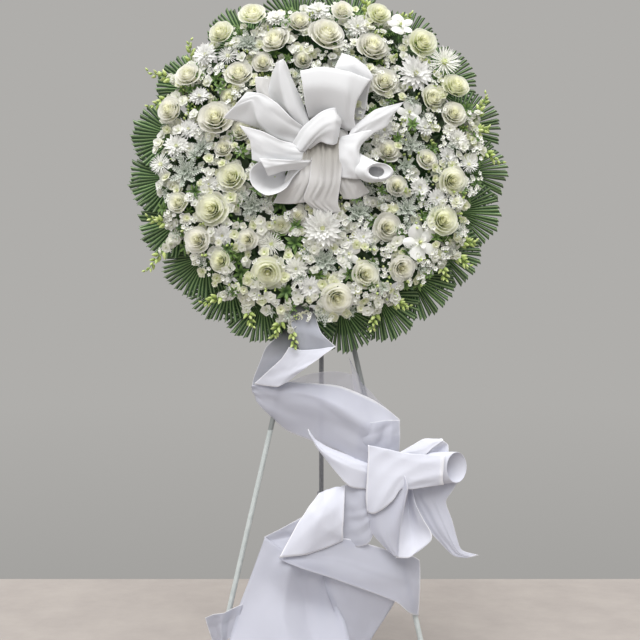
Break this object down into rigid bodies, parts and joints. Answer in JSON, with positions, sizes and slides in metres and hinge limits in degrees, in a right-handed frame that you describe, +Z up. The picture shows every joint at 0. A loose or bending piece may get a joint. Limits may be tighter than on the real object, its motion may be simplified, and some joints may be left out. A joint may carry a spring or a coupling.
{
  "type": "funeral flower stand",
  "caption": "Round funeral wreath of cream roses, white daisies and palm fans on a slim leaning tripod, with a white cloth bow and a cloth train tied round the legs.",
  "frame": {"origin": "on the ground, under the middle of the stand's bounding box", "axes": "+Z up, -Y towards the front of the wreath, +X to the viewer's right"},
  "size_m": [0.892, 0.6303, 1.584],
  "materials": {
    "stand_paint": "satin",
    "foot_rubber": "matte",
    "board": "matte",
    "foam": "matte",
    "palm_leaves": "satin",
    "green_leaves": "satin",
    "silver_leaves": "matte",
    "green_florets": "matte",
    "rose_petals": "matte",
    "daisy_petals": "matte",
    "orchid_petals": "satin",
    "cloth": "matte"
  },
  "bodies": {
    "root": {"back_leg_clamp": "stand_paint", "backing_board": "board", "centre_bow": "cloth", "daisy_spray_01": "daisy_petals", "daisy_spray_02": "daisy_petals", "daisy_spray_03": "daisy_petals", "foam_disc": "foam", "foot_cap_back": "foot_rubber", "foot_cap_front_left": "foot_rubber", "foot_cap_front_right": "foot_rubber", "hanger_bracket": "stand_paint", "leaf_spray_01": "green_leaves", "leaf_spray_02": "green_leaves", "leg_back": "stand_paint", "leg_front_left": "stand_paint", "leg_front_right": "stand_paint", "leg_head": "stand_paint", "lower_bow": "cloth", "lower_train": "cloth", "mast": "stand_paint", "miller_spray_01": "silver_leaves", "miller_spray_02": "silver_leaves", "orchid_spray_01": "orchid_petals", "orchid_spray_02": "orchid_petals", "palm_fan_01": "palm_leaves", "palm_fan_02": "palm_leaves", "palm_fan_03": "palm_leaves", "palm_fan_04": "palm_leaves", "palm_fan_05": "palm_leaves", "palm_fan_06": "palm_leaves", "palm_fan_07": "palm_leaves", "palm_fan_08": "palm_leaves", "palm_fan_09": "palm_leaves", "palm_fan_10": "palm_leaves", "palm_fan_11": "palm_leaves", "palm_fan_12": "palm_leaves", "palm_fan_13": "palm_leaves", "palm_fan_14": "palm_leaves", "palm_fan_15": "palm_leaves", "palm_fan_16": "palm_leaves", "palm_fan_17": "palm_leaves", "palm_fan_18": "palm_leaves", "palm_fan_19": "palm_leaves", "palm_fan_20": "palm_leaves", "rose_spray_01": "rose_petals", "rose_spray_02": "rose_petals", "rose_spray_03": "rose_petals", "rose_spray_04": "rose_petals", "rose_spray_05": "rose_petals", "rose_spray_06": "rose_petals", "rose_spray_07": "rose_petals", "spire_spray_01": "green_florets", "spire_spray_02": "green_florets", "spire_spray_03": "green_florets", "spire_spray_04": "green_florets", "spire_spray_05": "green_florets", "spire_spray_06": "green_florets", "spire_spray_07": "green_florets", "upper_train": "cloth"}
  },
  "joints": []
}
